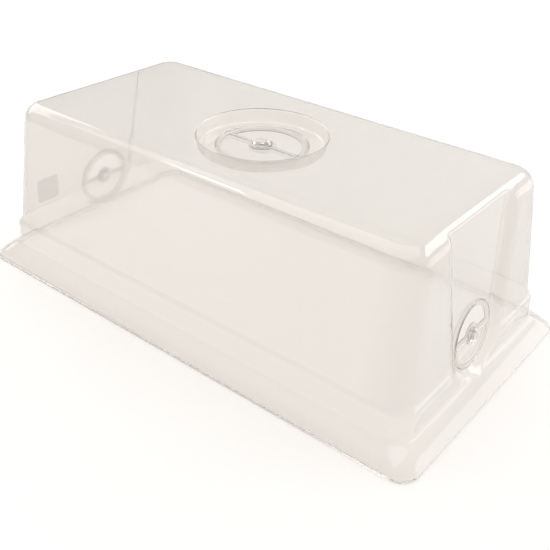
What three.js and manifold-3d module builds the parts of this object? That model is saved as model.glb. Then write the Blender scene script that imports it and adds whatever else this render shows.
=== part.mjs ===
// Humidity dome for a standard 10 x 20 inch propagation tray: a clear thermoformed shell
// with one rotary vent in its top and one in each end.
// Units are millimetres, +Z is up. The origin is the centre of the base, +X is the long way.
import * as THREE from 'three';
import { mergeVertices } from 'three/addons/utils/BufferGeometryUtils.js';
import Module from 'manifold-3d';

const wasm = await Module();
wasm.setup();

// ---- driving dimensions: shell ----
const BASE_LENGTH = 545;
const BASE_WIDTH = 293;
const HEIGHT = 178;
const SHEET = 1.0; // plastic thickness
const RIM_WIDTH = 4.2; // flat face under the rim bead
const DRAFT = THREE.MathUtils.degToRad(5.5); // lean of the walls
const FOOT_DRAFT = THREE.MathUtils.degToRad(2); // lean of the band at the foot of the walls
const TOP_EDGE_RADIUS = 18.5;
const WALL_CORNER_RADIUS = 26;
const BAND_CORNER_RADIUS = 21;
const BASE_CORNER_RADIUS = 18;
const CREASE_CORNER_RADIUS = 14;
const CREASE_INSET = 17; // where the sloping skirt meets the foot of the wall
const CREASE_HEIGHT = 17.7;
const CREASE_RISE = THREE.MathUtils.degToRad(51); // slope of the foot just above the crease
const FOOT_FILLET = 9;
const BAND_TOP = 43; // top of the band, where the wall steps in
const BAND_STEP = 3;
const STEP_HEIGHT = 6;
const CORNER_STEPS = 6;
const EDGE_STEPS = 5;

// ---- driving dimensions: vents ----
const TOP_DISH = { rimRadius: 64, floorRadius: 61.5, depth: 13.5, chamfer: 1.2 };
const PANEL_DEPTH = 7; // recess in each end wall, which holds the end vent
const PANEL_FLOOR = { halfTop: 54, halfLow: 37, bottom: 35 };
const PANEL_MOUTH = { halfTop: 62, halfLow: 45, bottom: 38 };
const PANEL_TOP = 128; // how far the recess runs up from the vent's axis, through the top edge
const PANEL_REACH = 14; // how far out of the wall the recess clears the shell, past the band
const PANEL_STEPS = 16; // along the recess's round bottom
const VENT_HEIGHT = 57; // height of the end vents' axes at the wall
const TOP_VENT = {
  dialRadius: 46, windowRadius: 40, bossRadius: 13, headRadius: 10, headHeight: 4.2,
  stemRadius: 4, tailRadius: 6, rimWidth: 2, rimHeight: 2.6, ribWidth: 3, ribHeight: 2.5,
};
const END_VENT = {
  dialRadius: 33, windowRadius: 28, bossRadius: 10, headRadius: 7.5, headHeight: 3.2,
  stemRadius: 3, tailRadius: 4.6, rimWidth: 1.6, rimHeight: 2.2, ribWidth: 2.4, ribHeight: 2.3,
};
const DIAL_THICKNESS = 1.6;
const WINDOW_EDGE = 2; // from the vent's diameter to the straight edge of its window
const WINDOW_MARGIN = 1; // how far the shell's window stays inside the dial's
const GAP = 0.3; // clearance between neighbouring pieces
const OVERRUN = 4; // how far a cutter runs past the face that it cuts
const RIVET_TAIL = 1.4; // thickness of a rivet's tail
const HEAD_FLAT = 0.45; // share of a rivet head's radius that is flat
const HEAD_SIDE = 0.3; // share of its height that is upright
const ROUND_STEPS = 40;
const RIVET_STEPS = 20;

// ---- driving dimensions: label ----
const LABEL = { width: 28, height: 29, thickness: 0.3, fromCentre: 77, middleHeight: 65 };

// ---- materials ----
const clearPlastic = () => new THREE.MeshStandardMaterial({
  color: 0xe9e6dd, roughness: 0.08, metalness: 0, transparent: true, opacity: 0.35,
});
const labelPaper = () => new THREE.MeshStandardMaterial({
  color: 0xd9d5cb, roughness: 0.6, metalness: 0,
});

// ---- solids ----
function toSolid(geometry) {
  const bare = geometry.clone();
  bare.deleteAttribute('normal');
  bare.deleteAttribute('uv');
  const merged = mergeVertices(bare, 1e-4);
  const mesh = new wasm.Mesh({
    numProp: 3,
    vertProperties: new Float32Array(merged.attributes.position.array),
    triVerts: new Uint32Array(merged.index.array),
  });
  mesh.merge();
  return new wasm.Manifold(mesh);
}

function toGeometry(solid) {
  const mesh = solid.getMesh();
  const geometry = new THREE.BufferGeometry();
  geometry.setAttribute('position', new THREE.BufferAttribute(mesh.vertProperties, 3));
  geometry.setIndex(new THREE.BufferAttribute(mesh.triVerts, 1));
  return geometry;
}

// A closed skin through rings that have equal numbers of points, lowest ring first.
function loft(rings) {
  const count = rings[0].length;
  const positions = [];
  const index = [];
  for (const ring of rings) {
    for (const point of ring) positions.push(point.x, point.y, point.z);
  }
  for (let level = 0; level + 1 < rings.length; level++) {
    for (let i = 0; i < count; i++) {
      const next = (i + 1) % count;
      const a = level * count + i;
      const b = level * count + next;
      index.push(a, b, b + count, a, b + count, a + count);
    }
  }
  for (const [level, flip] of [[0, true], [rings.length - 1, false]]) {
    const centre = new THREE.Vector3();
    for (const point of rings[level]) centre.addScaledVector(point, 1 / count);
    const hub = positions.length / 3;
    positions.push(centre.x, centre.y, centre.z);
    for (let i = 0; i < count; i++) {
      const a = level * count + i;
      const b = level * count + ((i + 1) % count);
      index.push(hub, flip ? b : a, flip ? a : b);
    }
  }
  const geometry = new THREE.BufferGeometry();
  geometry.setAttribute('position', new THREE.Float32BufferAttribute(positions, 3));
  geometry.setIndex(index);
  return geometry;
}

function lathe(points, steps = ROUND_STEPS) {
  const outline = points.map(([radius, height]) => new THREE.Vector2(radius, height));
  const geometry = new THREE.LatheGeometry(outline, steps);
  return geometry.rotateX(Math.PI / 2);
}

function extrude(shape, depth) {
  return new THREE.ExtrudeGeometry(shape, { depth, bevelEnabled: false, curveSegments: ROUND_STEPS / 2 });
}

// ---- shell ----
function roundedRing(inset, height, radius) {
  const halfX = BASE_LENGTH / 2 - inset - radius;
  const halfY = BASE_WIDTH / 2 - inset - radius;
  const ring = [];
  for (let corner = 0; corner < 4; corner++) {
    const signX = corner === 0 || corner === 3 ? 1 : -1;
    const signY = corner < 2 ? 1 : -1;
    for (let i = 0; i <= CORNER_STEPS; i++) {
      const angle = (corner + i / CORNER_STEPS) * Math.PI / 2;
      const x = signX * halfX + radius * Math.cos(angle);
      const y = signY * halfY + radius * Math.sin(angle);
      ring.push(new THREE.Vector3(x, y, height));
    }
  }
  return ring;
}

// Points of the shell's section from the rim up to the top: inset from the base, height, corner radius.
function outerSection() {
  const section = [
    { inset: 0.5, height: 0, radius: BASE_CORNER_RADIUS },
    { inset: 0, height: 1.2, radius: BASE_CORNER_RADIUS },
    { inset: 0.6, height: 2.8, radius: BASE_CORNER_RADIUS },
    { inset: 2.4, height: 4, radius: BASE_CORNER_RADIUS },
    { inset: 6.8, height: 9, radius: BASE_CORNER_RADIUS - 1.5 },
  ];
  const footSteps = 4;
  let inset = CREASE_INSET;
  let height = CREASE_HEIGHT;
  let radius = CREASE_CORNER_RADIUS;
  section.push({ inset, height, radius });
  const bandSlope = Math.PI / 2 - FOOT_DRAFT;
  for (let i = 1; i <= footSteps; i++) {
    const slope = CREASE_RISE + (bandSlope - CREASE_RISE) * i / footSteps;
    inset = CREASE_INSET + FOOT_FILLET * (Math.sin(slope) - Math.sin(CREASE_RISE));
    height = CREASE_HEIGHT + FOOT_FILLET * (Math.cos(CREASE_RISE) - Math.cos(slope));
    radius += (BAND_CORNER_RADIUS - CREASE_CORNER_RADIUS) / footSteps;
    section.push({ inset, height, radius });
  }
  inset += (BAND_TOP - height) * Math.tan(FOOT_DRAFT);
  section.push({ inset, height: BAND_TOP, radius });
  const foot = wallFoot(inset);
  section.push({ inset: foot.inset, height: foot.height, radius: radius + 1 });
  const centreHeight = HEIGHT - TOP_EDGE_RADIUS;
  const topOfWall = centreHeight + TOP_EDGE_RADIUS * Math.sin(DRAFT);
  const centreInset = foot.inset + (topOfWall - foot.height) * Math.tan(DRAFT)
    + TOP_EDGE_RADIUS * Math.cos(DRAFT);
  for (let i = 0; i <= EDGE_STEPS; i++) {
    const turn = DRAFT + (Math.PI / 2 - DRAFT) * i / EDGE_STEPS;
    const across = TOP_EDGE_RADIUS * Math.cos(turn);
    section.push({
      inset: centreInset - across,
      height: centreHeight + TOP_EDGE_RADIUS * Math.sin(turn),
      radius: WALL_CORNER_RADIUS - (TOP_EDGE_RADIUS * Math.cos(DRAFT) - across),
    });
  }
  return section;
}

function wallFoot(bandInset) {
  return { inset: bandInset + BAND_STEP, height: BAND_TOP + STEP_HEIGHT };
}

// The inside of the shell: the section moved in by the sheet's thickness, and open below.
function innerSection(outer) {
  const inner = [
    { inset: RIM_WIDTH, height: -5, radius: BASE_CORNER_RADIUS - RIM_WIDTH },
    { inset: RIM_WIDTH, height: 4.3, radius: BASE_CORNER_RADIUS - RIM_WIDTH },
  ];
  const normal = (from, to) => {
    const run = to.inset - from.inset;
    const rise = to.height - from.height;
    const length = Math.hypot(run, rise);
    return { inset: rise / length, height: -run / length };
  };
  for (let i = 4; i < outer.length; i++) {
    const below = normal(outer[i - 1], outer[i]);
    const above = i + 1 < outer.length ? normal(outer[i], outer[i + 1]) : { inset: 0, height: -1 };
    const scale = SHEET / (1 + below.inset * above.inset + below.height * above.height);
    const inward = (below.inset + above.inset) * scale;
    const downward = (below.height + above.height) * scale;
    inner.push({
      inset: outer[i].inset + inward,
      height: outer[i].height + downward,
      radius: outer[i].radius - inward,
    });
  }
  return inner;
}

const shellSection = outerSection();
const wallStart = shellSection[shellSection.length - EDGE_STEPS - 2];
const wallInset = (height) => wallStart.inset + (height - wallStart.height) * Math.tan(DRAFT);
const sectionSolid = (section) => toSolid(loft(section.map((p) => roundedRing(p.inset, p.height, p.radius))));

// Frame of one end: X runs along the wall, Y up the wall, Z out of it.
function endFrame(outOfWall, side) {
  const outward = new THREE.Vector3(side * Math.cos(DRAFT), 0, Math.sin(DRAFT));
  const upward = new THREE.Vector3(-side * Math.sin(DRAFT), 0, Math.cos(DRAFT));
  const along = new THREE.Vector3(0, side, 0);
  const origin = new THREE.Vector3(side * (BASE_LENGTH / 2 - wallInset(VENT_HEIGHT)), 0, VENT_HEIGHT);
  origin.addScaledVector(outward, outOfWall);
  return new THREE.Matrix4().makeBasis(along, upward, outward).setPosition(origin);
}

// The recess's outline at one depth: straight sides that close in downward to a round bottom.
function panelRing({ halfTop, halfLow, bottom }, grow, depth) {
  const ring = [
    new THREE.Vector3(halfTop + grow, PANEL_TOP, depth),
    new THREE.Vector3(-halfTop - grow, PANEL_TOP, depth),
  ];
  for (let i = 0; i <= PANEL_STEPS; i++) {
    const angle = Math.PI * (1 + i / PANEL_STEPS);
    const x = (halfLow + grow) * Math.cos(angle);
    const y = (bottom + grow) * Math.sin(angle);
    ring.push(new THREE.Vector3(x, y, depth));
  }
  return ring;
}

function panelCutter(side, grow) {
  const rings = [
    panelRing(PANEL_FLOOR, grow, -PANEL_DEPTH - grow),
    panelRing(PANEL_MOUTH, grow, -grow),
    panelRing(PANEL_MOUTH, grow, PANEL_REACH),
  ];
  return toSolid(loft(rings).applyMatrix4(endFrame(0, side)));
}

function dishCutter(grow) {
  const { rimRadius, floorRadius, depth, chamfer } = TOP_DISH;
  return toSolid(lathe([
    [0, HEIGHT - depth - grow],
    [floorRadius + grow, HEIGHT - depth - grow],
    [rimRadius + grow, HEIGHT - chamfer - grow],
    [rimRadius + chamfer + grow, HEIGHT - grow],
    [rimRadius + chamfer + grow, HEIGHT + OVERRUN],
    [0, HEIGHT + OVERRUN],
  ]));
}

// ---- vents ----
// The half-moon window, below the vent's diameter and round its central boss.
function windowOutline(outerRadius, innerRadius, edge, PathType) {
  const outerAngle = Math.asin(edge / outerRadius);
  const innerAngle = Math.asin(edge / innerRadius);
  const outline = new PathType();
  outline.absarc(0, 0, outerRadius, Math.PI + outerAngle, 2 * Math.PI - outerAngle, false);
  outline.absarc(0, 0, innerRadius, 2 * Math.PI - innerAngle, Math.PI + innerAngle, true);
  outline.closePath();
  return outline;
}

// The shell's window lies on the other side of the diameter: a vent is shut at rest and open half a turn on.
function ventOpenings(vent) {
  const outerRadius = vent.windowRadius - WINDOW_MARGIN;
  const innerRadius = vent.bossRadius + WINDOW_MARGIN;
  const outline = windowOutline(outerRadius, innerRadius, WINDOW_EDGE + WINDOW_MARGIN, THREE.Shape);
  const bore = vent.stemRadius + GAP;
  const window = toSolid(extrude(outline, 2 * OVERRUN).translate(0, 0, -OVERRUN).rotateZ(Math.PI));
  return window.add(toSolid(lathe([[0, -OVERRUN], [bore, -OVERRUN], [bore, OVERRUN], [0, OVERRUN]])));
}

function dial(vent) {
  const disc = new THREE.Shape().absarc(0, 0, vent.dialRadius, 0, 2 * Math.PI, false);
  const bore = new THREE.Path().absarc(0, 0, vent.stemRadius + GAP, 0, 2 * Math.PI, true);
  disc.holes.push(bore, windowOutline(vent.windowRadius, vent.bossRadius, WINDOW_EDGE, THREE.Path));
  const plate = toSolid(extrude(disc, DIAL_THICKNESS));
  const inner = vent.dialRadius - vent.rimWidth;
  const rim = toSolid(lathe([
    [inner, 0], [vent.dialRadius, 0], [vent.dialRadius, vent.rimHeight - 0.6],
    [vent.dialRadius - 0.6, vent.rimHeight], [inner, vent.rimHeight], [inner, 0],
  ]));
  let solid = plate.add(rim);
  const ribStart = vent.headRadius + 1.5;
  const ribLength = inner - ribStart + 0.5;
  for (const side of [-1, 1]) {
    const rib = new THREE.BoxGeometry(ribLength, vent.ribWidth, vent.ribHeight);
    rib.translate(side * (ribStart + ribLength / 2), vent.ribWidth / 2 - WINDOW_EDGE, vent.ribHeight / 2);
    solid = solid.add(toSolid(rib));
  }
  return toGeometry(solid);
}

// The snap rivet: a button head over the dial, a stem through the shell, and a tail behind it.
function rivet(vent) {
  const headBase = GAP + DIAL_THICKNESS + GAP;
  const tailTop = -SHEET - GAP;
  const crown = 3;
  const points = [
    [0, tailTop - RIVET_TAIL], [vent.tailRadius - 0.8, tailTop - RIVET_TAIL],
    [vent.tailRadius, tailTop - 0.6],
    [vent.tailRadius, tailTop], [vent.stemRadius, tailTop], [vent.stemRadius, headBase],
    [vent.headRadius, headBase],
  ];
  for (let i = 0; i <= crown; i++) {
    const angle = i / crown * Math.PI / 2;
    const radius = vent.headRadius * (HEAD_FLAT + (1 - HEAD_FLAT) * Math.cos(angle));
    points.push([radius, headBase + vent.headHeight * (HEAD_SIDE + (1 - HEAD_SIDE) * Math.sin(angle))]);
  }
  points.push([0, headBase + vent.headHeight]);
  return lathe(points, RIVET_STEPS);
}

// ---- assembly ----
const dome = new THREE.Group();

function addMesh(name, geometry, material, matrix = new THREE.Matrix4()) {
  const mesh = new THREE.Mesh(geometry, material);
  mesh.name = name;
  mesh.applyMatrix4(matrix);
  dome.add(mesh);
}

const ventSeats = [
  { name: 'top', vent: TOP_VENT, matrix: new THREE.Matrix4().makeTranslation(0, 0, HEIGHT - TOP_DISH.depth) },
  { name: 'right', vent: END_VENT, matrix: endFrame(-PANEL_DEPTH, 1) },
  { name: 'left', vent: END_VENT, matrix: endFrame(-PANEL_DEPTH, -1) },
];

let outside = sectionSolid(shellSection).subtract(dishCutter(0));
let inside = sectionSolid(innerSection(shellSection)).subtract(dishCutter(SHEET));
for (const side of [1, -1]) {
  outside = outside.subtract(panelCutter(side, 0));
  inside = inside.subtract(panelCutter(side, SHEET));
}
let shell = outside.subtract(inside);
for (const { vent, matrix } of ventSeats) {
  const openings = toGeometry(ventOpenings(vent)).applyMatrix4(matrix);
  shell = shell.subtract(toSolid(openings));
}
addMesh('dome_shell', toGeometry(shell), clearPlastic());

for (const { name, vent, matrix } of ventSeats) {
  const seat = matrix.clone().multiply(new THREE.Matrix4().makeTranslation(0, 0, GAP));
  addMesh(`${name}_vent_dial`, dial(vent), clearPlastic(), seat);
  addMesh(`${name}_vent_rivet`, rivet(vent), clearPlastic(), matrix);
}

const labelRise = (LABEL.middleHeight - VENT_HEIGHT) / Math.cos(DRAFT);
const labelPlace = endFrame(GAP + LABEL.thickness / 2, -1);
labelPlace.multiply(new THREE.Matrix4().makeTranslation(LABEL.fromCentre, labelRise, 0));
const labelSheet = new THREE.BoxGeometry(LABEL.width, LABEL.height, LABEL.thickness);
addMesh('blank_label', labelSheet, labelPaper(), labelPlace);

export default dome;
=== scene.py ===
import math

import bpy
import numpy as np
from mathutils import Matrix, Vector


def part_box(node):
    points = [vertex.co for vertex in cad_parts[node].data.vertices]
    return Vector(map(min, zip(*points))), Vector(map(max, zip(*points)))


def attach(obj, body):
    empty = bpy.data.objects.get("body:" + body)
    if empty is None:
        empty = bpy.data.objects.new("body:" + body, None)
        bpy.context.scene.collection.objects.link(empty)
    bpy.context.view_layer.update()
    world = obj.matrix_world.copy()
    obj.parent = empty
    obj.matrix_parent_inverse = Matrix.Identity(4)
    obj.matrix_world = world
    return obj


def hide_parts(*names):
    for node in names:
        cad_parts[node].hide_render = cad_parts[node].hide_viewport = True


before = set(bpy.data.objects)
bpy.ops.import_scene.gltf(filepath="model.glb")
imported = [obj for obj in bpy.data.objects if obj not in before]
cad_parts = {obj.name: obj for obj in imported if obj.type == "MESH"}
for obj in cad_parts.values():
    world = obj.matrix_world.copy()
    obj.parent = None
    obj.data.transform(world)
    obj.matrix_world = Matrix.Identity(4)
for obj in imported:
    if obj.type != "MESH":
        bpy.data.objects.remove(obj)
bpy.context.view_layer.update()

MM = 0.001
SHELL_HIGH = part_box("dome_shell")[1] / MM
HALF_X, HALF_Y, HEIGHT = SHELL_HIGH.x, SHELL_HIGH.y, SHELL_HIGH.z

# ---- shell, as in the CAD source ----
SHEET = 1.0
RIM_WIDTH, BEAD_TOP = 4.2, 4.3  # solid rim bead along the front; elsewhere the rim is a thin lip
DRAFT = math.radians(5.5)
FOOT_DRAFT = math.radians(2)
TOP_EDGE_RADIUS = 18.5
WALL_CORNER_RADIUS = 26
BAND_CORNER_RADIUS = 21
BASE_CORNER_RADIUS = 18
CREASE_CORNER_RADIUS = 14
CREASE_INSET = 17
CREASE_HEIGHT = 17.7
CREASE_RISE = math.radians(51)
FOOT_FILLET = 9
BAND_TOP = 43
BAND_STEP = 3
STEP_HEIGHT = 6
SKIRT_PULL = (5.5, 9.5)  # the point that the skirt's curve bends towards: inset, height

# ---- end recesses and vents ----
PANEL_DEPTH = 7
PANEL_FLOOR = {"half_top": 54, "half_low": 37, "bottom": 35}
PANEL_MOUTH = {"half_top": 62, "half_low": 45, "bottom": 38}
PANEL_TOP = 128
VENT_HEIGHT = 57
FLOOR_BLEND = 2.6  # how widely the recess's sides round into its floor
MOUTH_BLEND = 3.4  # how widely they round into the wall
DISH = {"rim_radius": 64, "floor_radius": 61.5, "depth": 13.5, "rim_fillet": 2.4, "floor_fillet": 3.2}
TOP_VENT = {
    "dial_radius": 46, "window_radius": 40, "boss_radius": 13, "head_radius": 10, "head_height": 4.2,
    "stem_radius": 4, "tail_radius": 6, "rim_width": 2, "rim_height": 2.6, "rib_width": 3,
    "rib_height": 2.5,
}
END_VENT = {
    "dial_radius": 33, "window_radius": 28, "boss_radius": 10, "head_radius": 7.5, "head_height": 3.2,
    "stem_radius": 3, "tail_radius": 4.6, "rim_width": 1.6, "rim_height": 2.2, "rib_width": 2.4,
    "rib_height": 2.3,
}
DIAL_THICKNESS = 1.6
DIAL_SHEET = 0.8  # plastic thickness of a dial, which is hollow below
WINDOW_EDGE = 2
WINDOW_MARGIN = 1
GAP = 0.3

# ---- how finely the shell is divided ----
FLOOR_COLUMNS, SIDE_COLUMNS, OUTER_COLUMNS = 15, 6, 10  # half an end wall, from its middle
CORNER_COLUMNS = 12
LONG_COLUMNS = 19  # half a long wall
QUARTER = FLOOR_COLUMNS + SIDE_COLUMNS + OUTER_COLUMNS + CORNER_COLUMNS + LONG_COLUMNS
COLUMNS = 4 * QUARTER
BEAD_ROWS = 4
SKIRT_STEPS, FILLET_STEPS, BAND_STEPS, RISE_STEPS, WALL_STEPS, ARC_STEPS = 7, 5, 9, 5, 46, 13
PATCH_COLUMNS = FLOOR_COLUMNS + SIDE_COLUMNS + 2  # half-width of the mesh round an end vent
PATCH_LOW, PATCH_HIGH = 10.5, 99  # heights between which it lies
PATCH_RINGS = 12
TOP_RINGS = 6  # from the edge of the flat top in to the dish's rim
DIAL_COLUMNS = 66  # half a turn of a dial, outside its rib
RIVET_COLUMNS = 56
LABEL_STEPS = 20
SHARP_ANGLE = math.radians(38)

# ---- label ----
LABEL_CORNER = 3.0
LABEL_FILM = 0.22
LABEL_LIFT = 0.06  # clear of the wall; one corner lifts further

# ---- painted shade on the end walls: a deeper tint standing in for their darkening at a grazing view, in metres as the shader has them ----
END_SHADE_REACH = (0.205, 0.238)
END_SHADE_HEIGHTS = (0.041, 0.050)


# ---- mesh helpers ----
def add_mesh(name, points, faces, material, body, stands_for):
    mesh = bpy.data.meshes.new(name)
    mesh.from_pydata((np.asarray(points) * MM).tolist(), [], [list(map(int, f)) for f in faces])
    mesh.validate()
    mesh.shade_smooth()
    mesh.set_sharp_from_angle(angle=SHARP_ANGLE)
    piece = bpy.data.objects.new(name, mesh)
    bpy.context.scene.collection.objects.link(piece)
    mesh.materials.append(material)
    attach(piece, body)
    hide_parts(stands_for)
    return piece


def thicken(outer, partner, faces):
    """A closed body: a skin, a second skin point for point behind it, and walls along open edges."""
    count = len(outer)
    edges = {edge for f in faces for edge in zip(f, f[1:] + f[:1])}
    walls = [(b, a, a + count, b + count) for a, b in sorted(edges) if (b, a) not in edges]
    back = [tuple(i + count for i in reversed(f)) for f in faces]
    return np.vstack([outer, partner]), list(faces) + back + walls


def point_normals(points, faces):
    """The unit normal at each point of a skin of quads."""
    quads = points[np.array(faces)]
    face_normals = np.cross(quads[:, 2] - quads[:, 0], quads[:, 3] - quads[:, 1])
    normals = np.zeros_like(points)
    for corner in range(4):
        np.add.at(normals, np.array(faces)[:, corner], face_normals)
    return normals / np.maximum(np.linalg.norm(normals, axis=1, keepdims=True), 1e-12)


def grid_faces(lower, upper, closed=True, skip=()):
    """Quads between two equally long lists of point numbers."""
    count = len(lower)
    spans = count if closed else count - 1
    return [
        (lower[i], lower[(i + 1) % count], upper[(i + 1) % count], upper[i])
        for i in range(spans) if i not in skip
    ]


def rounded(points, radii, steps=5):
    """A line through the points with its inner corners turned into arcs of the given radii."""
    line = [np.array(points[0], float)]
    for before, corner, after, radius in zip(points, points[1:], points[2:], radii):
        before, corner, after = (np.array(p, float) for p in (before, corner, after))
        into = (corner - before) / np.linalg.norm(corner - before)
        out = (after - corner) / np.linalg.norm(after - corner)
        turn = math.acos(max(-1, min(1, float(into @ out))))
        reach = radius * math.tan(turn / 2)
        start, end = corner - into * reach, corner + out * reach
        for i in range(steps + 1):
            t = i / steps
            line.append((1 - t) ** 2 * start + 2 * t * (1 - t) * corner + t * t * end)
    line.append(np.array(points[-1], float))
    return line


def smooth_min(a, b, width):
    """The smaller of a and b, with the crease between them rounded over the given width."""
    near = np.maximum(width - np.abs(a - b), 0) / width
    return np.minimum(a, b) - near * near * width / 4


def fan(radius, edge, upper, lower):
    """Angles round a vent at one radius. The upper half starts and ends edge below the diameter."""
    lean = math.asin(max(-0.95, min(0.95, edge / radius)))
    first = np.linspace(-lean, math.pi + lean, upper + 1)
    second = np.linspace(math.pi + lean, 2 * math.pi - lean, lower + 1)
    return np.concatenate([first[:-1], second[:-1]])


# ---- shell ----
def wall_inset(height):
    """How far in from the rim the wall lies at a height above the step, without its recess."""
    foot = CREASE_INSET + FOOT_FILLET * (math.cos(FOOT_DRAFT) - math.sin(CREASE_RISE))
    fillet_top = CREASE_HEIGHT + FOOT_FILLET * (math.cos(CREASE_RISE) - math.sin(FOOT_DRAFT))
    band = foot + (BAND_TOP - fillet_top) * math.tan(FOOT_DRAFT)
    return band + BAND_STEP + (height - BAND_TOP - STEP_HEIGHT) * math.tan(DRAFT)


def section_rows():
    """Inset, height and corner radius of each row of the shell, from the rim up to the flat top."""
    rows = [
        (0.5, 0, BASE_CORNER_RADIUS), (0, 1.2, BASE_CORNER_RADIUS),
        (0.6, 2.8, BASE_CORNER_RADIUS), (2.4, 4, BASE_CORNER_RADIUS),
    ]
    for i in range(1, SKIRT_STEPS + 1):
        t = i / SKIRT_STEPS
        share = ((1 - t) ** 2, 2 * t * (1 - t), t * t)
        inset = share[0] * rows[3][0] + share[1] * SKIRT_PULL[0] + share[2] * CREASE_INSET
        height = share[0] * rows[3][1] + share[1] * SKIRT_PULL[1] + share[2] * CREASE_HEIGHT
        corner = BASE_CORNER_RADIUS + t * (CREASE_CORNER_RADIUS - BASE_CORNER_RADIUS)
        rows.append((inset, height, corner))
    for i in range(1, FILLET_STEPS + 1):
        t = i / FILLET_STEPS
        slope = CREASE_RISE + (math.pi / 2 - FOOT_DRAFT - CREASE_RISE) * t
        inset = CREASE_INSET + FOOT_FILLET * (math.sin(slope) - math.sin(CREASE_RISE))
        height = CREASE_HEIGHT + FOOT_FILLET * (math.cos(CREASE_RISE) - math.cos(slope))
        corner = CREASE_CORNER_RADIUS + t * (BAND_CORNER_RADIUS - CREASE_CORNER_RADIUS)
        rows.append((inset, height, corner))
    inset, height, radius = rows[-1]
    band_inset = wall_inset(BAND_TOP + STEP_HEIGHT) - BAND_STEP
    for i in range(1, BAND_STEPS + 1):
        t = i / BAND_STEPS
        rows.append((inset + t * (band_inset - inset), height + t * (BAND_TOP - height), radius))
    for i in range(1, RISE_STEPS + 1):
        t = i / RISE_STEPS
        ease = t * t * (3 - 2 * t)
        rows.append((band_inset + ease * BAND_STEP, BAND_TOP + t * STEP_HEIGHT, radius + t))
    centre_height = HEIGHT - TOP_EDGE_RADIUS
    wall_foot = BAND_TOP + STEP_HEIGHT
    wall_top = centre_height + TOP_EDGE_RADIUS * math.sin(DRAFT)
    for i in range(1, WALL_STEPS + 1):
        t = i / WALL_STEPS
        z = wall_foot + t * (wall_top - wall_foot)
        rows.append((wall_inset(z), z, radius + 1 + t * (WALL_CORNER_RADIUS - radius - 1)))
    centre_inset = wall_inset(wall_top) + TOP_EDGE_RADIUS * math.cos(DRAFT)
    for i in range(1, ARC_STEPS + 1):
        turn = DRAFT + (math.pi / 2 - DRAFT) * i / ARC_STEPS
        across = TOP_EDGE_RADIUS * math.cos(turn)
        rows.append((
            centre_inset - across, centre_height + TOP_EDGE_RADIUS * math.sin(turn),
            WALL_CORNER_RADIUS - (TOP_EDGE_RADIUS * math.cos(DRAFT) - across),
        ))
    return rows


def panel_half(outline, height):
    """Half the width of a recess's floor or mouth, which narrows towards the vent."""
    up = np.clip((height - VENT_HEIGHT) / math.cos(DRAFT), 0, PANEL_TOP)
    return outline["half_low"] + (outline["half_top"] - outline["half_low"]) * up / PANEL_TOP


def recessed(base, y, height):
    """How far from the middle an end wall lies, where its surface without the recess lies at base."""
    up = (height - VENT_HEIGHT) / math.cos(DRAFT)
    low = np.minimum(up, 0)
    to_floor = np.hypot(y / panel_half(PANEL_FLOOR, height), low / PANEL_FLOOR["bottom"])
    to_mouth = np.hypot(y / panel_half(PANEL_MOUTH, height), low / PANEL_MOUTH["bottom"])
    side = (to_floor - 1) / np.maximum(to_floor - to_mouth, 1e-3)
    rise = PANEL_DEPTH * np.clip(side, -1, 4)
    depth = PANEL_DEPTH + smooth_min(-rise, 0 * rise, FLOOR_BLEND)
    wall = HALF_X - np.vectorize(wall_inset)(height)
    return smooth_min(base, wall - depth / math.cos(DRAFT), MOUTH_BLEND)


def quarter_ring(inset, height, radius):
    """A quarter of one row of the shell, from the middle of the +X end to the middle of the +Y side."""
    straight_y = HALF_Y - inset - radius
    straight_x = HALF_X - inset - radius
    floor_half, mouth_half = panel_half(PANEL_FLOOR, height), panel_half(PANEL_MOUTH, height)
    ys = np.concatenate([
        np.linspace(0, floor_half, FLOOR_COLUMNS + 1),
        np.linspace(floor_half, mouth_half, SIDE_COLUMNS + 1)[1:],
        np.linspace(mouth_half, straight_y, OUTER_COLUMNS + 1)[1:],
    ])
    points = [(HALF_X - inset, y) for y in ys]
    for i in range(1, CORNER_COLUMNS + 1):
        angle = math.pi / 2 * i / CORNER_COLUMNS
        points.append((straight_x + radius * math.cos(angle), straight_y + radius * math.sin(angle)))
    points += [(x, HALF_Y - inset) for x in np.linspace(straight_x, 0, LONG_COLUMNS + 1)[1:]]
    return np.array(points)


def full_ring(inset, height, radius):
    first = quarter_ring(inset, height, radius)
    ring = np.vstack([
        first[:-1], (first * (-1, 1))[::-1][:-1], (first * (-1, -1))[:-1], (first * (1, -1))[::-1][:-1],
    ])
    return np.column_stack([ring, np.full(len(ring), height)])


class Skin:
    """The shell's outer skin as it is put together: its points and faces."""

    def __init__(self):
        self.points, self.faces = [], []

    def add_points(self, points):
        start = len(self.points)
        self.points.extend(np.asarray(points, float))
        return list(range(start, len(self.points)))


def patch_border(rows, low, high, side):
    """Point numbers round the mesh of one end vent, from the middle of its +Y side over its top."""
    middle_column = 0 if side > 0 else 2 * QUARTER

    def at(row, column):
        return rows[row][(middle_column + side * column) % COLUMNS]

    middle = round((low + high) / 2)
    half = PATCH_COLUMNS
    up = [at(r, half) for r in range(middle, high)]
    over = [at(high, c) for c in range(half, -half, -1)]
    down = [at(r, -half) for r in range(high, middle, -1)]
    lower = [at(r, -half) for r in range(middle, low, -1)]
    under = [at(low, c) for c in range(-half, half)]
    back_up = [at(r, half) for r in range(low, middle)]
    return up + over + down, lower + under + back_up


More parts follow.
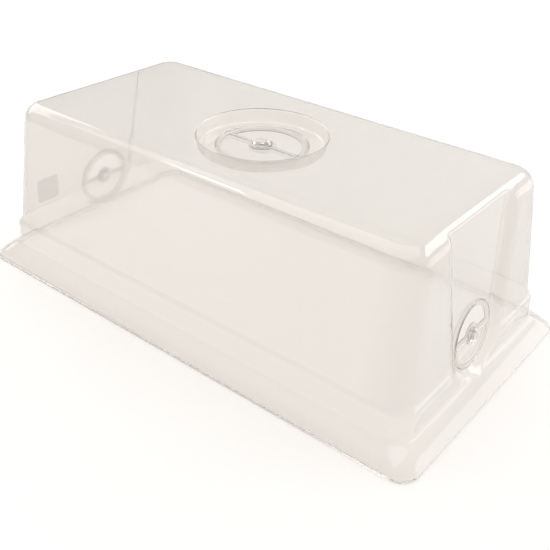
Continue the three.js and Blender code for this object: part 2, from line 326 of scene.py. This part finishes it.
def end_patch(skin, rows, low, high, side):
    """The mesh from a rectangle of an end wall in to the vent's window and bore."""
    above, below = patch_border(rows, low, high, side)
    border = above + below
    edge = -WINDOW_EDGE - WINDOW_MARGIN
    seat_z = VENT_HEIGHT - PANEL_DEPTH * math.sin(DRAFT)
    window = (END_VENT["window_radius"] - WINDOW_MARGIN, END_VENT["boss_radius"] + WINDOW_MARGIN)
    radii = [34.4, 31.5, 29, window[0], 23, 19, 15, window[1], 8, 5.5, END_VENT["stem_radius"] + GAP]
    outline = np.array([skin.points[i][1:] for i in border])

    def circle(radius):
        angles = fan(radius, edge, len(above), len(below))
        heights = seat_z + radius * np.sin(angles) * math.cos(DRAFT)
        return np.column_stack([radius * np.cos(angles), heights])

    flat = [outline + (circle(radii[0]) - outline) * t / PATCH_RINGS for t in range(1, PATCH_RINGS)]
    flat += [circle(radius) for radius in radii]
    last = border
    opened = set(range(len(above)))
    for number, ring in enumerate(flat):
        base = np.interp(ring[:, 1], SECTION_HEIGHTS, SECTION_REACH)
        x = side * recessed(base, ring[:, 0], ring[:, 1])
        new = skin.add_points(np.column_stack([x, ring]))
        radius_number = number - PATCH_RINGS + 1
        in_window = 0 < radius_number and window[0] > radii[radius_number] >= window[1]
        faces = grid_faces(last, new, skip=opened if in_window else ())
        skin.faces += faces if side > 0 else [tuple(reversed(f)) for f in faces]
        last = new


def dish_profile():
    """Radius and height of the dish in the top, from the flat down its side and on to its floor."""
    top, floor = HEIGHT, HEIGHT - DISH["depth"]
    return rounded(
        [(DISH["rim_radius"] + 6, top), (DISH["rim_radius"], top), (DISH["floor_radius"], floor),
         (DISH["floor_radius"] - 8, floor)],
        [DISH["rim_fillet"], DISH["floor_fillet"]], steps=6,
    )


def top_patch(skin, last):
    """The flat top, the dish in it, and the dish's window and bore."""
    edge = -WINDOW_EDGE - WINDOW_MARGIN
    window = (TOP_VENT["window_radius"] - WINDOW_MARGIN, TOP_VENT["boss_radius"] + WINDOW_MARGIN)
    profile = [tuple(p) for p in dish_profile()]
    floor = profile[-1][1]
    inner = [47, 43, window[0], 34, 29, 24, 19, window[1], 10, 7, TOP_VENT["stem_radius"] + GAP]
    profile += [(radius, floor) for radius in inner]
    half = COLUMNS // 2
    outline = np.array([skin.points[i] for i in last])
    opened = set(range(half))
    rings = []
    for radius, height in profile:
        angles = fan(radius, edge, half, half)
        rings.append(np.column_stack([
            radius * np.cos(angles), radius * np.sin(angles), np.full(COLUMNS, height),
        ]))
    between = [outline + (rings[0] - outline) * t / TOP_RINGS for t in range(1, TOP_RINGS)]
    levels = [(None, ring) for ring in between] + [(p[0], ring) for p, ring in zip(profile, rings)]
    for radius, ring in levels:
        new = skin.add_points(ring)
        in_window = radius is not None and window[0] > radius >= window[1]
        skin.faces += grid_faces(last, new, skip=opened if in_window else ())
        last = new


def shell_skin():
    skin = Skin()
    rows = []
    end_half = FLOOR_COLUMNS + SIDE_COLUMNS + OUTER_COLUMNS
    for inset, height, radius in SECTION:
        ring = full_ring(inset, height, radius)
        for middle in (0, 2 * QUARTER):
            columns = [(middle + c) % COLUMNS for c in range(-end_half, end_half + 1)]
            reach = recessed(np.abs(ring[columns, 0]), ring[columns, 1], ring[columns, 2])
            ring[columns, 0] = np.sign(ring[columns, 0]) * reach
        rows.append(skin.add_points(ring))
    low = min(range(len(SECTION)), key=lambda r: abs(SECTION[r][1] - PATCH_LOW))
    high = min(range(len(SECTION)), key=lambda r: abs(SECTION[r][1] - PATCH_HIGH))
    left_out = {
        (middle + c) % COLUMNS
        for middle in (0, 2 * QUARTER) for c in range(-PATCH_COLUMNS, PATCH_COLUMNS)
    }
    for r in range(len(rows) - 1):
        skin.faces += grid_faces(rows[r], rows[r + 1], skip=left_out if low <= r < high else ())
    for side in (1, -1):
        end_patch(skin, rows, low, high, side)
    top_patch(skin, rows[-1])
    return skin


def build_shell(material):
    skin = shell_skin()
    used = sorted({i for f in skin.faces for i in f})
    number = {old: new for new, old in enumerate(used)}
    outer = np.array(skin.points)[used]
    faces = [tuple(number[i] for i in f) for f in skin.faces]
    normals = point_normals(outer, faces)
    inner = outer - SHEET * normals
    for row in range(BEAD_ROWS):
        height = SECTION[row][1] * BEAD_TOP / SECTION[BEAD_ROWS - 1][1]
        solid = full_ring(RIM_WIDTH, height, BASE_CORNER_RADIUS - RIM_WIDTH)
        part = slice(row * COLUMNS, (row + 1) * COLUMNS)
        share = np.clip(-normals[part, 1:2], 0, 1) ** 2
        inner[part] += share * (solid - inner[part])
    points, faces = thicken(outer, inner, faces)
    add_mesh("clear_shell", points, faces, material, "dome", "dome_shell")


# ---- vents ----
def seat_matrix(which):
    """Where a vent's own frame lies: Z out of its seat, Y away from its window."""
    if which == "top":
        return Matrix.Translation((0, 0, HEIGHT - DISH["depth"]))
    side = 1 if which == "right" else -1
    outward = Vector((side * math.cos(DRAFT), 0, math.sin(DRAFT)))
    upward = Vector((-side * math.sin(DRAFT), 0, math.cos(DRAFT)))
    along = Vector((0, side, 0))
    origin = Vector((side * (HALF_X - wall_inset(VENT_HEIGHT)), 0, VENT_HEIGHT)) - outward * PANEL_DEPTH
    matrix = Matrix((along, upward, outward)).transposed().to_4x4()
    matrix.translation = origin
    return matrix


def placed(points, matrix, lift=0):
    """Points of a vent's own frame, lifted out of the seat and put where the vent is."""
    turn = np.array(matrix.to_3x3())
    return (np.asarray(points) + (0, 0, lift)) @ turn.T + np.array(matrix.translation)


def build_dial(which, vent, material):
    """A disc with a raised hollow rim, a half-moon window and a hollow grip rib along its diameter."""
    bore, boss, window = vent["stem_radius"] + GAP, vent["boss_radius"], vent["window_radius"]
    outer, rim = vent["dial_radius"], vent["dial_radius"] - vent["rim_width"]
    plate, crest, rib = DIAL_THICKNESS, vent["rim_height"], vent["rib_height"]
    rib_low, rib_high = -WINDOW_EDGE, vent["rib_width"] - WINDOW_EDGE
    share = rib - plate
    offsets = [
        rib_low, rib_low + 0.5, rib_low + 1, rib_high - 1, rib_high - 0.5, rib_high, rib_high + 0.3,
    ]
    ridge = [plate, plate + 0.7 * share, rib, rib, plate + 0.7 * share, plate + 0.1 * share, plate]
    rib_start = vent["head_radius"] + 1.2
    stations = [
        (bore, plate), (bore + 1, plate), (boss - 1, plate), (boss, plate),
        *((boss + (window - boss) * t / 6, plate) for t in range(1, 6)), (window, plate),
        (rim - 1.2, plate), (rim - 0.6, plate + 0.06), (rim - 0.2, plate + 0.25),
        (rim + 0.1, crest - 0.35), (rim + 0.4, crest - 0.1), (rim + 0.7, crest),
        (outer - 0.7, crest), (outer - 0.3, crest - 0.12), (outer, crest - 0.5),
        (outer, plate / 2), (outer, 0.3),
    ]

    def ring(radius, height):
        right = [math.asin(max(-0.95, min(0.95, o / radius))) for o in offsets]
        over = np.linspace(right[-1], math.pi - right[-1], DIAL_COLUMNS + 1)[1:-1]
        left = [math.pi - a for a in reversed(right)]
        under = np.linspace(left[-1], 2 * math.pi + right[0], DIAL_COLUMNS + 1)[1:-1]
        angles = np.array(right + list(over) + left + list(under))
        heights = np.full(len(angles), float(height))
        along = min(1, max(0, (radius - rib_start) / 0.8)) * (radius < rim + 0.3)
        count = len(offsets)
        for i, top in enumerate(ridge):
            for column in (i, count + DIAL_COLUMNS - 1 + count - 1 - i):
                heights[column] = max(height, height + (top - plate) * along)
        return np.column_stack([radius * np.cos(angles), radius * np.sin(angles), heights])

    rings = [ring(radius, height) for radius, height in stations]
    count = len(rings[0])
    top = np.vstack(rings)
    bottom = top.copy()
    bottom[:, 2] = np.maximum(top[:, 2] - DIAL_SHEET, 0)
    for back, wall in enumerate((0.8, 0.8, 0.8, 0.9, 1.0, 1.1, 1.2), start=1):
        row = slice((len(rings) - back) * count, (len(rings) - back + 1) * count)
        radius = stations[-back][0]
        bottom[row, :2] *= min(radius, outer - wall) / radius
    bottom[-2 * count:-count, 2] = plate / 2
    bottom[-count:, 2] = 0
    first_open = 2 * len(offsets) + DIAL_COLUMNS - 2
    opened = set(range(first_open, count))
    faces = []
    for r in range(len(rings) - 1):
        skip = opened if boss <= stations[r][0] < window else ()
        lower = list(range(r * count, (r + 1) * count))
        upper = list(range((r + 1) * count, (r + 2) * count))
        faces += [tuple(reversed(f)) for f in grid_faces(lower, upper, skip=skip)]
    points, faces = thicken(top, bottom, faces)
    used = sorted({i for f in faces for i in f})
    number = {old: new for new, old in enumerate(used)}
    points = placed(points[used], seat_matrix(which), GAP)
    faces = [tuple(number[i] for i in f) for f in faces]
    add_mesh(
        f"{which}_clear_disc", points, faces, material, f"{which}_dial", f"{which}_vent_dial",
    )


def build_rivet(which, vent, material):
    """A snap rivet turned about its axis: tail, stem and a domed head with a shallow dimple."""
    head_base = GAP + DIAL_THICKNESS + GAP
    tail_top = -SHEET - GAP
    head, crown = vent["head_radius"], head_base + vent["head_height"]
    side = head_base + vent["head_height"] * 0.3
    profile = rounded(
        [(0, tail_top - 1.4), (vent["tail_radius"], tail_top - 1.4), (vent["tail_radius"], tail_top),
         (vent["stem_radius"], tail_top), (vent["stem_radius"], head_base), (head, head_base),
         (head, side), (head * 0.62, crown), (head * 0.3, crown - 0.1), (0, crown - 0.7)],
        [0.5, 0.3, 0.1, 0.1, 0.35, 1.2, 2.4, 1.5], steps=4,
    )
    points = [(0, 0, profile[0][1]), (0, 0, profile[-1][1])]
    for radius, height in profile[1:-1]:
        for i in range(RIVET_COLUMNS):
            angle = 2 * math.pi * i / RIVET_COLUMNS
            points.append((radius * math.cos(angle), radius * math.sin(angle), height))
    rings = [
        list(range(2 + r * RIVET_COLUMNS, 2 + (r + 1) * RIVET_COLUMNS)) for r in range(len(profile) - 2)
    ]
    faces = []
    for lower, upper in zip(rings, rings[1:]):
        faces += grid_faces(lower, upper)
    for i in range(RIVET_COLUMNS):
        after = (i + 1) % RIVET_COLUMNS
        faces.append((0, rings[0][after], rings[0][i]))
        faces.append((1, rings[-1][i], rings[-1][after]))
    points = placed(points, seat_matrix(which))
    add_mesh(
        f"{which}_snap_rivet", points, faces, material, "dome", f"{which}_vent_rivet",
    )


# ---- label ----
def build_label(material):
    """A thin sticker with rounded corners, flat on the left wall, one corner just lifting."""
    low, high = (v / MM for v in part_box("blank_label"))
    half_width, half_height = (high.y - low.y) / 2, (high.z - low.z) / 2
    middle_y, middle_z = (low.y + high.y) / 2, (low.z + high.z) / 2
    rows = []
    for j in range(LABEL_STEPS + 1):
        for i in range(LABEL_STEPS + 1):
            u, v = 2 * i / LABEL_STEPS - 1, 2 * j / LABEL_STEPS - 1
            y, z = u * half_width, v * half_height
            over_y, over_z = abs(y) - (half_width - LABEL_CORNER), abs(z) - (half_height - LABEL_CORNER)
            if over_y > 0 and over_z > 0:
                reach = max(over_y, over_z) / math.hypot(over_y, over_z)
                y = math.copysign(half_width - LABEL_CORNER + over_y * reach, y)
                z = math.copysign(half_height - LABEL_CORNER + over_z * reach, z)
            lift = LABEL_LIFT + 0.35 * max(0, (u + v) / 2 - 0.6)
            rows.append((middle_y + y, middle_z + z, lift))
    flat = np.array(rows)
    wall = HALF_X - np.vectorize(wall_inset)(flat[:, 1])
    outer_wall = wall + (flat[:, 2] + LABEL_FILM) / math.cos(DRAFT)
    outer = np.column_stack([-outer_wall, flat[:, 0], flat[:, 1]])
    inner = np.column_stack([-(wall + flat[:, 2] / math.cos(DRAFT)), flat[:, 0], flat[:, 1]])
    faces = []
    for j in range(LABEL_STEPS):
        lower = list(range(j * (LABEL_STEPS + 1), (j + 1) * (LABEL_STEPS + 1)))
        upper = [n + LABEL_STEPS + 1 for n in lower]
        faces += [tuple(reversed(f)) for f in grid_faces(lower, upper, closed=False)]
    points, faces = thicken(outer, inner, faces)
    add_mesh("label_film", points, faces, material, "dome", "blank_label")


# ---- materials ----
class Nodes:
    """A material's node tree, with short ways to add a node and to link it."""

    def __init__(self, name):
        self.material = bpy.data.materials.new(name)
        self.material.use_nodes = True
        self.tree = self.material.node_tree
        self.tree.nodes.clear()
        self.output = self.tree.nodes.new("ShaderNodeOutputMaterial")

    def add(self, kind, **values):
        node = self.tree.nodes.new(kind)
        for key, value in values.items():
            socket = key.replace("_", " ")
            if socket in node.inputs:
                node.inputs[socket].default_value = value
            else:
                setattr(node, key, value)
        return node

    def link(self, source, target):
        self.tree.links.new(source, target)

    def noise(self, scale, detail=3.0, stretch=(1, 1, 1)):
        place = self.add("ShaderNodeTexCoord")
        mapping = self.add("ShaderNodeMapping", Scale=stretch)
        noise = self.add("ShaderNodeTexNoise", Scale=scale, Detail=detail)
        self.link(place.outputs["Object"], mapping.inputs["Vector"])
        self.link(mapping.outputs["Vector"], noise.inputs["Vector"])
        return noise.outputs["Fac"]

    def remap(self, value, low, high, to_low, to_high):
        node = self.add("ShaderNodeMapRange", From_Min=low, From_Max=high, To_Min=to_low, To_Max=to_high)
        self.link(value, node.inputs["Value"])
        return node.outputs["Result"]

    def bump(self, value, distance, strength):
        node = self.add("ShaderNodeBump", Strength=strength, Distance=distance)
        self.link(value, node.inputs["Height"])
        return node.outputs["Normal"]


def paint_end_wall_shade(nodes, shader, tint, painted_end_shade):
    """Painted shade: more of the tint in the end walls above the band, standing in for how they darken
    when seen at a grazing angle, as deep as the photo shows it there.
    """
    place = nodes.add("ShaderNodeTexCoord")
    apart = nodes.add("ShaderNodeSeparateXYZ")
    reach = nodes.add("ShaderNodeMath", operation="ABSOLUTE")
    both = nodes.add("ShaderNodeMath", operation="MULTIPLY")
    # the ramp runs from the sheet's own tint to the painted end-wall shade
    ramp = nodes.add("ShaderNodeValToRGB")
    ramp.color_ramp.elements[0].color = (*tint, 1)
    ramp.color_ramp.elements[1].color = (*painted_end_shade, 1)
    nodes.link(place.outputs["Object"], apart.inputs["Vector"])
    nodes.link(apart.outputs["X"], reach.inputs[0])
    nodes.link(nodes.remap(reach.outputs["Value"], *END_SHADE_REACH, 0, 1), both.inputs[0])
    nodes.link(nodes.remap(apart.outputs["Z"], *END_SHADE_HEIGHTS, 0, 1), both.inputs[1])
    nodes.link(both.outputs["Value"], ramp.inputs["Fac"])
    nodes.link(ramp.outputs["Color"], shader.inputs["Base Color"])


def clear_plastic(name, tint, shade, haze, smoothness, wave, painted_end_shade=None):
    """Clear plastic: uneven from forming, lightly scuffed, and letting lamps through as a tint, with
    painted shade on the end walls when painted_end_shade is given.
    """
    nodes = Nodes(name)
    plastic = nodes.add("ShaderNodeBsdfPrincipled", IOR=1.5)
    # the end walls get painted shade: a deeper tint for their darkening at a grazing view
    if painted_end_shade:
        paint_end_wall_shade(nodes, plastic, tint, painted_end_shade)
    else:
        plastic.inputs["Base Color"].default_value = (*tint, 1)
    plastic.inputs["Transmission Weight"].default_value = 1 - haze
    scuffs = nodes.noise(420, 6, (1, 1, 0.35))
    roughness = nodes.remap(scuffs, 0.5, 0.78, smoothness, smoothness + 0.07)
    nodes.link(roughness, plastic.inputs["Roughness"])
    forming = nodes.bump(nodes.noise(22, 2, (1, 1, 0.6)), wave, 0.5)
    nodes.link(forming, plastic.inputs["Normal"])
    clear = nodes.add("ShaderNodeBsdfTransparent", Color=(*shade, 1))
    path = nodes.add("ShaderNodeLightPath")
    mix = nodes.add("ShaderNodeMixShader")
    unseen = nodes.add("ShaderNodeMath", operation="MAXIMUM")
    nodes.link(path.outputs["Is Shadow Ray"], unseen.inputs[0])
    nodes.link(path.outputs["Is Diffuse Ray"], unseen.inputs[1])
    nodes.link(unseen.outputs["Value"], mix.inputs["Fac"])
    nodes.link(plastic.outputs["BSDF"], mix.inputs[1])
    nodes.link(clear.outputs["BSDF"], mix.inputs[2])
    nodes.link(mix.outputs["Shader"], nodes.output.inputs["Surface"])
    return nodes.material


def label_film():
    """A blank translucent sticker: mottled, satin, and letting some light through."""
    nodes = Nodes("label_film")
    paper = nodes.add("ShaderNodeBsdfPrincipled", IOR=1.45)
    ramp = nodes.add("ShaderNodeValToRGB")
    ramp.color_ramp.elements[0].color = (0.88, 0.875, 0.885, 1)
    ramp.color_ramp.elements[1].color = (0.95, 0.945, 0.955, 1)
    nodes.link(nodes.remap(nodes.noise(500, 5), 0.35, 0.65, 0, 1), ramp.inputs["Fac"])
    nodes.link(ramp.outputs["Color"], paper.inputs["Base Color"])
    nodes.link(nodes.remap(nodes.noise(240, 4), 0.3, 0.7, 0.42, 0.6), paper.inputs["Roughness"])
    nodes.link(nodes.bump(nodes.noise(900, 4), 0.0001, 0.4), paper.inputs["Normal"])
    through = nodes.add("ShaderNodeBsdfTranslucent", Color=(0.98, 0.975, 0.985, 1))
    mix = nodes.add("ShaderNodeMixShader", Fac=0.6)
    nodes.link(paper.outputs["BSDF"], mix.inputs[1])
    nodes.link(through.outputs["BSDF"], mix.inputs[2])
    nodes.link(mix.outputs["Shader"], nodes.output.inputs["Surface"])
    return nodes.material


def pale_floor():
    nodes = Nodes("pale_floor")
    paint = nodes.add("ShaderNodeBsdfPrincipled", Roughness=0.7)
    ramp = nodes.add("ShaderNodeValToRGB")
    ramp.color_ramp.elements[0].color = (0.86, 0.855, 0.84, 1)
    ramp.color_ramp.elements[1].color = (0.88, 0.875, 0.865, 1)
    nodes.link(nodes.noise(6, 3), ramp.inputs["Fac"])
    nodes.link(ramp.outputs["Color"], paint.inputs["Base Color"])
    nodes.link(paint.outputs["BSDF"], nodes.output.inputs["Surface"])
    return nodes.material


# ---- scene ----
def add_floor():
    reach = 8
    mesh = bpy.data.meshes.new("floor")
    mesh.from_pydata([(-reach, -reach, 0), (reach, -reach, 0), (reach, reach, 0), (-reach, reach, 0)],
                     [], [(0, 1, 2, 3)])
    floor = bpy.data.objects.new("floor", mesh)
    floor.location.z = -0.0004
    mesh.materials.append(pale_floor())
    bpy.context.scene.collection.objects.link(floor)


def add_light(name, place, size, power, target=(0, 0, 0.08), colour=(1, 1, 1)):
    lamp = bpy.data.lights.new(name, "AREA")
    lamp.shape = "RECTANGLE"
    lamp.size, lamp.size_y = size
    lamp.energy = power
    lamp.color = colour
    light = bpy.data.objects.new(name, lamp)
    light.location = place
    light.rotation_euler = (Vector(target) - Vector(place)).to_track_quat("-Z", "Y").to_euler()
    bpy.context.scene.collection.objects.link(light)


def add_world(low, high, bright_side):
    """A soft sky that brightens towards one side."""
    world = bpy.data.worlds.new("studio")
    world.use_nodes = True
    tree = world.node_tree
    place = tree.nodes.new("ShaderNodeTexCoord")
    facing = tree.nodes.new("ShaderNodeVectorMath")
    facing.operation = "DOT_PRODUCT"
    facing.inputs[1].default_value = Vector(bright_side).normalized()
    strength = tree.nodes.new("ShaderNodeMapRange")
    for socket, value in (("From Min", -1), ("From Max", 1), ("To Min", low), ("To Max", high)):
        strength.inputs[socket].default_value = value
    background = tree.nodes["Background"]
    background.inputs["Color"].default_value = (1.0, 0.99, 0.975, 1)
    tree.links.new(place.outputs["Generated"], facing.inputs[0])
    tree.links.new(facing.outputs["Value"], strength.inputs["Value"])
    tree.links.new(strength.outputs["Result"], background.inputs["Strength"])
    bpy.context.scene.world = world


def add_camera():
    azimuth, elevation, roll = (math.radians(a) for a in (37.97, 32.26, 1.85))
    target, distance = Vector((0.0168, 0.0052, 0.0211)), 0.8451
    back = Vector((
        math.sin(azimuth) * math.cos(elevation), -math.cos(azimuth) * math.cos(elevation),
        math.sin(elevation),
    ))
    right = (-back).cross(Vector((0, 0, 1))).normalized()
    up = right.cross(-back)
    rolled_right = right * math.cos(roll) + up * math.sin(roll)
    rolled_up = up * math.cos(roll) - right * math.sin(roll)
    lens = bpy.data.cameras.new("camera")
    lens.sensor_width, lens.lens = 36, 52.31
    lens.clip_start, lens.clip_end = 0.01, 60
    camera = bpy.data.objects.new("camera", lens)
    matrix = Matrix((rolled_right, rolled_up, back)).transposed().to_4x4()
    matrix.translation = target + back * distance
    camera.matrix_world = matrix
    bpy.context.scene.collection.objects.link(camera)
    bpy.context.scene.camera = camera


SECTION = section_rows()
SECTION_HEIGHTS = [row[1] for row in SECTION]
SECTION_REACH = [HALF_X - row[0] for row in SECTION]

# the sheet carries painted shade on its end walls, a deeper tint for their grazing view
sheet = clear_plastic(
    "clear_sheet", tint=(0.893, 0.874, 0.85), shade=(0.94, 0.927, 0.917), haze=0.05,
    smoothness=0.06, wave=0.0006, painted_end_shade=(0.845, 0.822, 0.802),
)
moulded = clear_plastic(
    "clear_moulding", tint=(0.905, 0.888, 0.87), shade=(0.955, 0.945, 0.935), haze=0.04,
    smoothness=0.06, wave=0.0003,
)
build_shell(sheet)
for which, vent in (("top", TOP_VENT), ("right", END_VENT), ("left", END_VENT)):
    build_dial(which, vent, moulded)
    build_rivet(which, vent, moulded)
build_label(label_film())

add_floor()
add_world(0.42, 0.98, (0.62, 0.55, 0.5))
add_light("overhead", (-0.4, 0.2, 3.5), (5.0, 5.0), 58)
add_light("accent", (-1.03, -0.35, 1.5), (0.1, 0.22), 1.2)
add_light("left_wall", (-2.2, 0.1, 1.1), (1.6, 1.2), 8)
add_light("back_strip", (0.78, 1.58, 1.3), (1.5, 0.55), 5.5)
add_light("low_card", (1.55, 1.5, 0.35), (1.9, 0.7), 4.2)
bpy.context.scene.view_settings.view_transform = "Standard"
add_camera()
